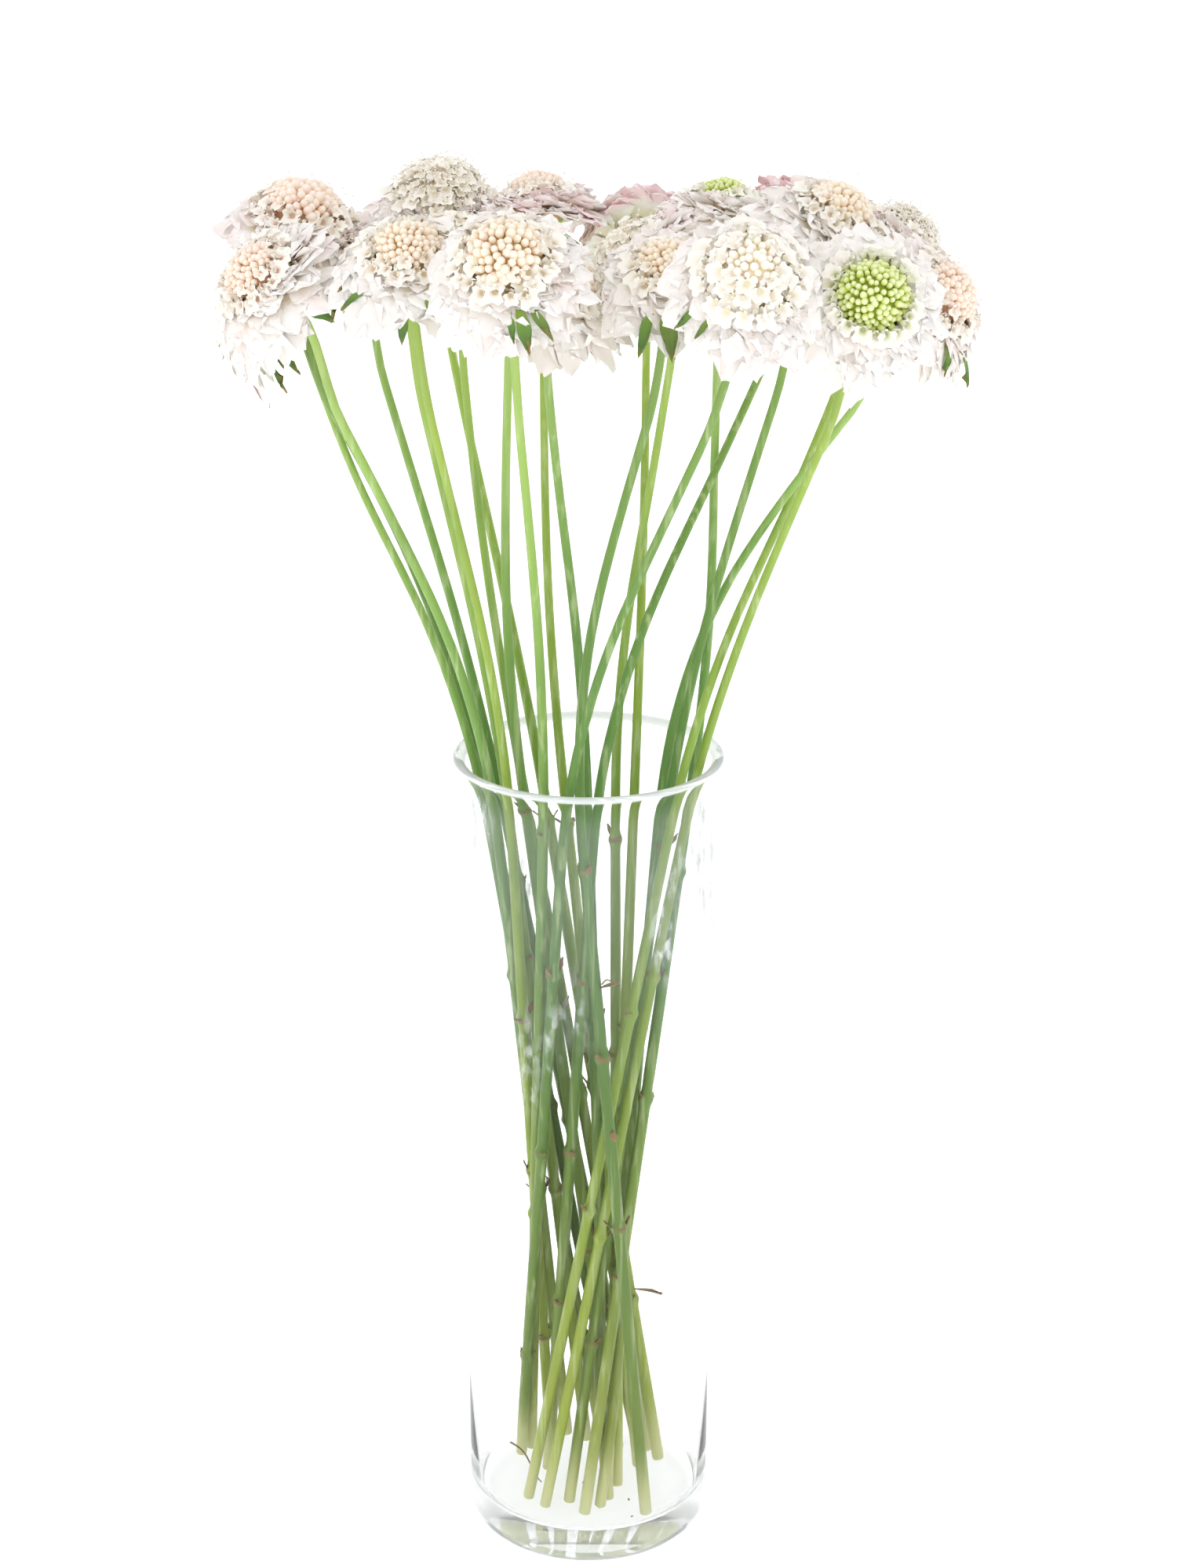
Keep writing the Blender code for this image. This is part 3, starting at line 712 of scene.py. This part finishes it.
def make_stalk(head, route, draw):
    """One stalk. Its radius falls from 2.15 mm at the foot to 1.4 under the flower, times its own factor.

    At each joint 0.8 * exp(-(distance / 1.9)^2) is added, and a slight waist follows 4 mm above it. Scars
    are exp(-(distance / 1.3)^2), stronger on one side."""
    steps = np.concatenate([[0.0], np.cumsum(np.linalg.norm(np.diff(route, axis=0), axis=1))])
    total = steps[-1]
    joints = draw.uniform(30.0, 95.0) + np.cumsum(draw.uniform(62.0, 105.0, 3)) - 62.0
    joints = joints[joints < LAST_JOINT]
    near = (joints[:, None] + np.array(NEAR_JOINT)).ravel()
    at = np.unique(np.concatenate([np.linspace(0.0, total, 66), near, [0.5]]))
    path = np.stack([np.interp(at, steps, route[:, k]) for k in range(3)], -1)
    thin = np.interp(at, (0, 200, 290, 400, total), STALK_RADII) * draw.uniform(0.93, 1.07)
    gap = at[:, None] - joints
    radius = thin + 0.8 * np.exp(-((gap / 1.9) ** 2)).sum(1) - 0.15 * np.exp(-((gap - 4.0) ** 2) / 4).sum(1)
    radius[0] *= 0.93
    cup_rings = np.array(CUP_RINGS)
    path = np.vstack([path, head.cup + cup_rings[:, :1] * head.axis])
    radius = np.concatenate([radius, cup_rings[:, 1]])
    share = np.concatenate([at / total, np.ones(len(cup_rings))])
    scar = np.concatenate([0.9 * np.exp(-((gap / 1.3) ** 2)).sum(1), np.zeros(len(cup_rings))])
    rings = tubes(path[None], radius[None], STALK_SIDES, head.u)
    shape = Shape()
    patchy = 0.55 + 0.45 * np.sin(2 * np.pi * np.arange(STALK_SIDES) / STALK_SIDES + draw.uniform(0, 6))
    tones = np.repeat(share, STALK_SIDES)
    shape.add(*stack(rings), tones, np.outer(scar, patchy).ravel(), 0.24 * draw.random())
    for joint in joints:
        add_stubs(shape, path, np.interp(joint, at, np.arange(len(at))), draw)
    add_bracts(shape, head, draw)
    if head.name in HANGING:
        add_hanging(shape, head, draw)
    shape.piece("stalk_" + head.name, green.material, ["stem_" + head.name])


def add_stubs(shape, path, row, draw):
    """Two dry scales left at a joint, on opposite sides."""
    k = int(row)
    along = unit(path[k + 1] - path[k])
    turn = draw.uniform(0, np.pi) + np.array((0.0, np.pi))
    first, second = across(along[None], np.array([1.0, 0.1, 0.0]))
    out = np.cos(turn)[:, None] * first + np.sin(turn)[:, None] * second
    sheets = lobes(
        path[k] + 1.7 * out, out * draw.uniform(0.25, 1.0) + along, out, draw.uniform(2.0, 7.0, 2),
        draw.uniform(1.8, 3.0, 2), 0.0, 0.3, LEAF_PROFILE, 5, draw,
    )
    points, faces, tones = closed_sheet(sheets, 0.4, LEAF_TONES)
    shape.add(points, faces, tones, 0.0, 2.0)


BRACTS = 8
BRACT_ROOT_R, BRACT_ROOT_Z = 5.6, -1.8
HANGING = {
    # for some flowers, the leaves that hang out from under them: degrees round from the side that faces
    # the ground, length, distance of the root from the axis, and drop in degrees
    "01": ((-35, 16, 6, 30), (-8, 13, 6, 38), (10, 20, 6, 26), (28, 17, 6, 46), (55, 13, 6, 30)),
    "03": ((-60, 15, 6, 55), (0, 14, 6, 60), (60, 15, 6, 55)),
    "04": ((-42, 12, 16, 3), (-60, 9, 16, 3), (24, 10, 17, 3)),
    "06": ((8, 10, 17, 3), (18, 17, 16, 3), (30, 14, 16, 3)),
    "11": ((-22, 18, 16, 3), (-6, 20, 16, 3), (8, 16, 16, 3), (34, 9, 17, 3)),
    "12": ((-62, 11, 17, 3), (-46, 9, 17, 3)),
    "18": ((-24, 10, 16, 3), (4, 13, 17, 3)),
}


# ranges of width and bend, then wave, columns, cup, and the most that a leaf may be dry
BRACT_LEAF = ((0.26, 0.36), (0.05, 0.32), 0.5, 5, 0.14, 0.35)
HANGING_LEAF = ((0.20, 0.29), (0.05, 0.42), 0.9, 7, 0.16, 0.5)


def add_leaves(shape, head, turn, lift, start, length, kind, draw):
    """Pointed leaves round the flower's axis, rooted on its cup or, beyond 10 mm, between its petals."""
    wide, bend, wave, cols, cup, dry = kind
    count = len(turn)
    out, up = fan(turn, lift, 0.0), fan(turn, lift + np.pi / 2, 0.0)
    root = np.stack([start * np.cos(turn), start * np.sin(turn), np.where(start > 10, 5.6, BRACT_ROOT_Z)], -1)
    sheets = lobes(
        root, out, up, length, length * draw.uniform(*wide, count), draw.uniform(*bend, count), wave,
        LEAF_PROFILE, cols, draw, cup=cup, nick=0.0,
    )
    points, faces, tones = closed_sheet(head.world(sheets), 0.45, LEAF_TONES)
    shape.add(points, faces, tones, draw.uniform(0.0, dry, (count, 1)), 1.0)


def add_hanging(shape, head, draw):
    """The hanging leaves of one flower."""
    place, length, start, drop = np.array(HANGING[head.name], float).T
    turn, lift = head.down + np.radians(place), -np.radians(drop)
    add_leaves(shape, head, turn, lift, start, length, HANGING_LEAF, draw)


def add_bracts(shape, head, draw):
    """Leaves from the cup's side, long and short by turns, drooping away from the flower."""
    order, start = np.arange(BRACTS), np.full(BRACTS, BRACT_ROOT_R)
    turn = 2 * np.pi * (order + draw.uniform(-0.25, 0.25, BRACTS)) / BRACTS + draw.uniform(0, 6)
    length = np.where(order % 2, 15.0, 10.5) * draw.uniform(0.8, 1.2, BRACTS)
    lift = np.radians(draw.uniform(-48.0, -12.0, BRACTS))
    add_leaves(shape, head, turn, lift, start, length, BRACT_LEAF, draw)


for head, route in zip(heads, routes):
    make_stalk(head, route, draw)
print("stalks with hanging leaves:", len(HANGING))

# %% [markdown]
# ## Scraps
# A few things tell of use: dried leaves still on their stalks, one of them with a curl, a dry thread that
# lies on the vase's floor, and some crumbs beside it. They are few, so their places are written down.

# %% Dried leaves, thread and crumbs


def nearest_stalk(x, z, forward):
    """The routes' point of least (its x - x)^2 + 4 (its z - z)^2 + forward * its y, so that a larger
    forward prefers the front."""
    points = np.concatenate(routes)
    cost = (points[:, 0] - x) ** 2 + 4 * (points[:, 2] - z) ** 2 + forward * points[:, 1]
    return points[np.argmin(cost)]


scraps = Shape()
SCRAP_STALKS = ((24.0, 80.0, 0.0), (-3.0, 226.0, 30.0), (16.0, 165.0, 20.0))
spots = np.stack([nearest_stalk(*place) for place in SCRAP_STALKS])
ways = np.array([(1.0, -0.3, 0.05), (0.8, -0.5, 0.7), (0.2, -0.5, 1.0)])
sheets = lobes(
    spots + 1.9 * unit(ways), ways, np.array([(0.0, 0.2, 1.0), (-0.4, 0.0, 1.0), (0.0, 1.0, 0.3)]),
    np.array((11.0, 8.0, 6.5)), np.array((3.0, 3.2, 3.4)), np.array((0.1, 0.3, -0.1)), 0.8,
    LEAF_PROFILE, 5, draw,
)
points, faces, tones = closed_sheet(sheets, 0.5, LEAF_TONES)
scraps.add(points, faces, tones, 0.6, 2.0)
s = np.linspace(0.0, 1.0, 14)[:, None]
thread = np.array((-30.0, 6.0, 21.0)) + s * (13.0, -13.0, -8.2) + np.sin(5.0 * s) * (0.8, 1.2, 0.5)
curl = spots[1] + (2.0, -2.0, 3.0) + s * (6.0, -3.0, 3.5) + np.sin(6.0 * s) * (0.0, 0.6, 0.9)
radii = np.linspace(0.42, 0.22, 14) * np.array([[1.0], [0.7]])
scraps.add(*stack(tubes(np.stack([thread, curl]), radii, 6, np.array((0.1, 0.2, 1.0)))), 0.5, 0.3, 2.0)
crumbs = np.array([
    (-1.5, -9, 12.5), (-6.5, -14, 12.4), (15, -20, 12.5), (16, -31, 12.3), (4, -24, 12.3), (-14, 2, 12.4),
])
points, faces, tones = buds(crumbs, unit(draw.normal(0, 1, (6, 3))), draw.uniform(0.35, 0.7, 6), 1.6)
scraps.add(points, faces, tones, 0.4, 2.0)
scraps.piece("scraps", green.material, ())
print("scraps: %d leaves, %d crumbs" % (len(spots), len(crumbs)))

# %% [markdown]
# ## Room between neighbours
# Twenty-two flowers are packed cheek by cheek, and real petals press flat where they meet. Each petal
# point that crosses the plane halfway to a neighbour is drawn back to a fifth of its overshoot. The outer
# petals also droop under their own weight.

# %% Pressing petals together
# mm to a flower that may touch, share of the overshoot taken back, and sink in mm, 28 mm out
NEIGHBOUR = 60.0
PRESS = 0.8
DROOP = 8.0
SKIRT_FROM, SKIRT_WIDE = 13.4, 14.6


def pressed(points, head):
    """point - PRESS * overshoot * way, for each neighbour near enough to matter."""
    for other in heads:
        way = other.centre - head.centre
        apart = np.linalg.norm(way)
        if 0.0 < apart < NEIGHBOUR:
            way = way / apart
            over = np.maximum((points - head.centre) @ way - apart / 2, 0.0)
            points = points - PRESS * over[..., None] * way
    return points


def drooped(local, head):
    """The flower's rim sinks along its axis, most on the side that faces down.

    sink = DROOP * (0.35 + 0.65 * low side * lean) * ((radius - SKIRT_FROM) / SKIRT_WIDE)^1.2"""
    radius = np.hypot(local[..., 0], local[..., 1])
    low_side = 0.5 + 0.5 * np.cos(np.arctan2(local[..., 1], local[..., 0]) - head.down)
    lean = math.hypot(head.axis[0], head.axis[1])
    out = np.maximum((radius - SKIRT_FROM) / SKIRT_WIDE, 0.0)
    sink = DROOP * (0.35 + 0.65 * low_side * lean) * out**1.2
    return np.concatenate([local[..., :2], local[..., 2:] - sink[..., None]], -1)


# %% [markdown]
# ## The petals
# Four whorls of ray florets, each floret with three broad lobes side by side. The outer whorls lie nearly
# flat and droop, and the inner ones stand up more and more, with two small lobes that stand inwards. Each
# lobe is rolled a little about its own length, so that neighbours overlap like tiles on a roof.

# %% Make the petals
WHORLS = (
    # florets, throat radius, throat height, lift in degrees, lobe length, lobe width, wave
    (13, 13.2, 3.2, -8.0, 15.6, 11.8, 1.0),
    (14, 13.0, 5.0, 7.0, 12.8, 10.4, 1.0),
    (14, 12.6, 6.4, 22.0, 9.0, 8.8, 0.8),
    (16, 12.0, 7.6, 36.0, 6.2, 6.8, 0.5),
)
# a floret's three lobes: turned sideways by, share of the length and the width, raised by (radians)
BROAD_LOBES = ((-0.46, 0.86, 0.84, 0.05), (0.0, 1.0, 1.0, 0.0), (0.46, 0.86, 0.84, 0.05))
INWARD_LOBES = (-0.5, 0.5)
STANDING = 10.0
LONG_LOBE = 10.0
ROLL = 0.26
PETAL_THICK = 0.30


def make_petals(head, draw):
    """Lobes in every whorl, for one flower. A grown middle pushes the throats out and shortens the lobes."""
    shape = Shape()
    size = draw.uniform(0.94, 1.03)
    for count, radius, height, lift, length, width, wave in WHORLS:
        wider = 0.75 * DOME_R * (head.grown - 1.0)
        radius, length = radius + wider, length - 0.8 * wider * (length > 8.0)
        turn = 2 * np.pi * (np.arange(count) + draw.uniform(-0.22, 0.22, count)) / count + draw.uniform(0, 6)
        tilt = np.radians(lift + draw.normal(0.0, 3.5, count))
        height = height + draw.normal(0, 0.7, count)
        throat = np.stack([radius * np.cos(turn), radius * np.sin(turn), height], -1)
        for yaw, long, wide, raise_by in BROAD_LOBES:
            lean = tilt + raise_by + draw.normal(0.0, 0.07, count)
            out = fan(turn, lean, yaw)
            roll = ROLL * fan(turn, np.zeros(count), yaw + np.pi / 2)
            up = fan(turn, lean + np.pi / 2, yaw) + roll + draw.normal(0.0, 0.09, (count, 3))
            sheets = lobes(
                throat - 3.0 * out, out, up, (length + 3.0) * long * size * draw.uniform(0.86, 1.08, count),
                width * wide * draw.uniform(0.88, 1.12, count), draw.uniform(-0.10, 0.20, count),
                wave * draw.uniform(0.6, 1.3, count), PETAL_PROFILE, 9 if length > LONG_LOBE else 6, draw,
                nick=0.028 if length > LONG_LOBE else 0.0,
            )
            add_sheets(shape, head, sheets, draw)
        for yaw in INWARD_LOBES if lift > STANDING else ():
            out = fan(turn, tilt + 1.0 + draw.normal(0.0, 0.2, count), yaw)
            up = -fan(turn, np.zeros(count), yaw)
            sheets = lobes(
                throat - 1.5 * out, out, up, length * 0.5 * draw.uniform(0.8, 1.2, count), width * 0.46,
                draw.uniform(-0.3, 0.1, count), wave * 0.3, FRILL_PROFILE, 5, draw, cup=0.3, nick=0.0,
            )
            add_sheets(shape, head, sheets, draw)
    shape.piece("petals_" + head.name, petal.material, ["bloom_" + head.name])


def add_sheets(shape, head, sheets, draw):
    """Sheets of the flower's frame, drooped, placed, pressed and closed."""
    placed = pressed(head.world(drooped(sheets, head)), head)
    points, faces, tones = closed_sheet(placed, PETAL_THICK, np.linspace(0, 1, sheets.shape[1])[:, None])
    wash = np.clip(head.pink * draw.uniform(0.35, 1.15, (len(sheets), 1)) + draw.uniform(0, 0.12), 0, 1)
    shape.add(points, faces, tones, wash)


for head in heads:
    make_petals(head, draw)
print("broad lobes on a flower:", len(BROAD_LOBES) * sum(row[0] for row in WHORLS))

# %% [markdown]
# ## The middles
# Last comes the pincushion. Under it is a plain dome, so that nothing shows through between the buds.
# Buds sit on top, open florets on the dome's edge and in a ring round it, and stamens between them.

# %% Make the middles
# height and radius of the plain dome
CORE = ((0.5, 6.5), (2.5, 10.0), (5.5, 10.4), (8.2, 9.6), (11.0, 9.1), (13.6, 7.2), (15.5, 4.2), (16.2, 1.2))
KINDS = {
    # buds, their radius, how far out they reach, florets on the dome, their size, florets in the ring,
    # stamens, their length and how far out they start, and the tone of the plain dome (a low one gives it the
    # painted crevice shade)
    "cream": (88, 1.30, 0.91, 32, 2.2, 22, 26, 4.6, 0.6, 0.15),
    "salmon": (82, 1.32, 0.89, 32, 2.2, 22, 44, 4.6, 0.6, 0.15),
    "lime": (146, 1.10, 1.0, 0, 2.2, 22, 8, 4.6, 0.6, 0.15),
    "open": (34, 1.15, 0.62, 62, 2.2, 18, 50, 4.6, 0.6, 0.45),
    "fluffy": (10, 1.20, 0.30, 130, 1.6, 17, 460, 3.4, 0.25, 0.45),
}
BUD_TALL = 1.30
SUNK, FLORET_TALL = 2.2, 4.4
RING_SIZE, RING_TALL = 2.9, 4.8


def make_middle(head, draw):
    """Core, buds, small florets and stamens, for one flower."""
    buds_in, bud_r, reach, on_dome, floret, in_ring, threads, thread, thread_from, plain = KINDS[head.middle]
    grown = head.grown
    core = np.array(CORE)
    shape = Shape()
    path = np.stack([np.zeros(len(core)), np.zeros(len(core)), core[:, 0]], -1)[None]
    path[..., 2] = DOME_BASE + (path[..., 2] - DOME_BASE) * np.where(path[..., 2] > DOME_BASE, grown, 1.0)
    points, faces = stack(tubes(path, core[None, :, 1] * grown, 16, np.array([1.0, 0.0, 0.0])))
    # at a low tone the plain dome takes the darker root colour, painted shade between the buds
    shape.add(pressed(head.world(points), head), faces, plain)
    place, facing = dome(buds_in, grown, 0.0, reach, draw)
    points, faces, tones = buds(place, facing, bud_r * grown * draw.uniform(0.78, 1.14, buds_in), BUD_TALL)
    shape.add(pressed(head.world(points), head), faces, tones, draw.uniform(0, 1, (buds_in, 1)))
    if on_dome:
        place, facing = dome(on_dome, grown, reach - 0.12, 1.02, draw)
        add_trumpets(shape, head, place - SUNK * facing, facing, floret * grown, FLORET_TALL, 0.8, draw)
    turn = 2 * np.pi * (np.arange(in_ring) + draw.uniform(-0.3, 0.3, in_ring)) / in_ring
    radius, lift = grown * draw.uniform(9.9, 11.0, in_ring), np.radians(draw.uniform(34, 62, in_ring))
    place = np.stack([radius * np.cos(turn), radius * np.sin(turn), draw.uniform(7.4, 9.6, in_ring)], -1)
    add_trumpets(shape, head, place, fan(turn, lift, 0.0), RING_SIZE, RING_TALL, 0.97, draw)
    place, facing = dome(threads, grown, thread_from, 1.05, draw)
    part = Shape()
    stamens(part, place, unit(facing + draw.normal(0, 0.2, (threads, 3))), thread, draw)
    shape.join(part, head)
    opened = head.middle in ("open", "fluffy")
    stands_for = [] if opened else ["buds_" + head.name]
    shape.piece("middle_" + head.name, middle_finishes[head.middle], stands_for)


def add_trumpets(shape, head, place, facing, size, tall, pale, draw):
    """Small florets of the flower's frame, placed and pressed."""
    outward = place * (1.0, 1.0, 0.0) + 1e-3
    sizes = size * draw.uniform(0.75, 1.15, len(place))
    points, faces, tones = trumpets(place, facing, outward, sizes, tall, draw)
    # less pale towards the throat, so that the painted crevice shade shows there
    paleness = pale * np.clip(2.2 * tones - 0.2, 0.3, 1.0)
    shape.add(pressed(head.world(points), head), faces, tones, draw.uniform(0, 1, (len(place), 1)), paleness)


for head in heads:
    make_middle(head, draw)
print("kinds of middle:", ", ".join(KINDS))

# %% [markdown]
# ## Floor and light
# The photograph is lit from all round against white, so there is hardly a shadow. A white world gives
# that, a floor with a little light of its own keeps the white under the glass, and one large soft lamp
# from the upper left keeps the flowers round. Many bounces carry the light through the glass and in
# between the petals.

# %% Floor, world and lamp
scene = bpy.context.scene
# metres: half width and height of the floor
FLOOR, BELOW = 6.0, -0.0004
ROOM, ROOM_STRENGTH = (0.985, 0.993, 1.0, 1.0), 1.03
glow = {"Emission_Color": (1, 1, 1, 1), "Emission_Strength": 0.65}
paper = Finish("floor_paper", Roughness=0.9, Specular_IOR_Level=0.1, **glow)
paper.feed(Base_Color=paper.noise(3.0).between(rgb(222, 223, 224), rgb(220, 222, 223)))
floor_mesh = bpy.data.meshes.new("floor")
floor_mesh.from_pydata(
    [(-FLOOR, -FLOOR, BELOW), (FLOOR, -FLOOR, BELOW), (FLOOR, FLOOR, BELOW), (-FLOOR, FLOOR, BELOW)],
    [], [(0, 1, 2, 3)],
)
floor_mesh.materials.append(paper.material)
floor = bpy.data.objects.new("floor", floor_mesh)
scene.collection.objects.link(floor)

world = bpy.data.worlds.new("white_room")
world.use_nodes = True
room = world.node_tree.nodes["Background"].inputs
room["Color"].default_value, room["Strength"].default_value = ROOM, ROOM_STRENGTH
scene.world = world
scene.view_settings.view_transform = "Standard"
bounces = scene.cycles
bounces.max_bounces, bounces.diffuse_bounces, bounces.transmission_bounces = 24, 8, 24

lamp = bpy.data.lights.new("soft_lamp", "AREA")
lamp.shape, lamp.size, lamp.energy = "DISK", 1.8, 3.0
lamp_item = bpy.data.objects.new("soft_lamp", lamp)
lamp_item.location = (-1.1, -1.0, 1.7)
lamp_item.rotation_euler = (math.radians(42), 0.0, math.radians(-45))
scene.collection.objects.link(lamp_item)
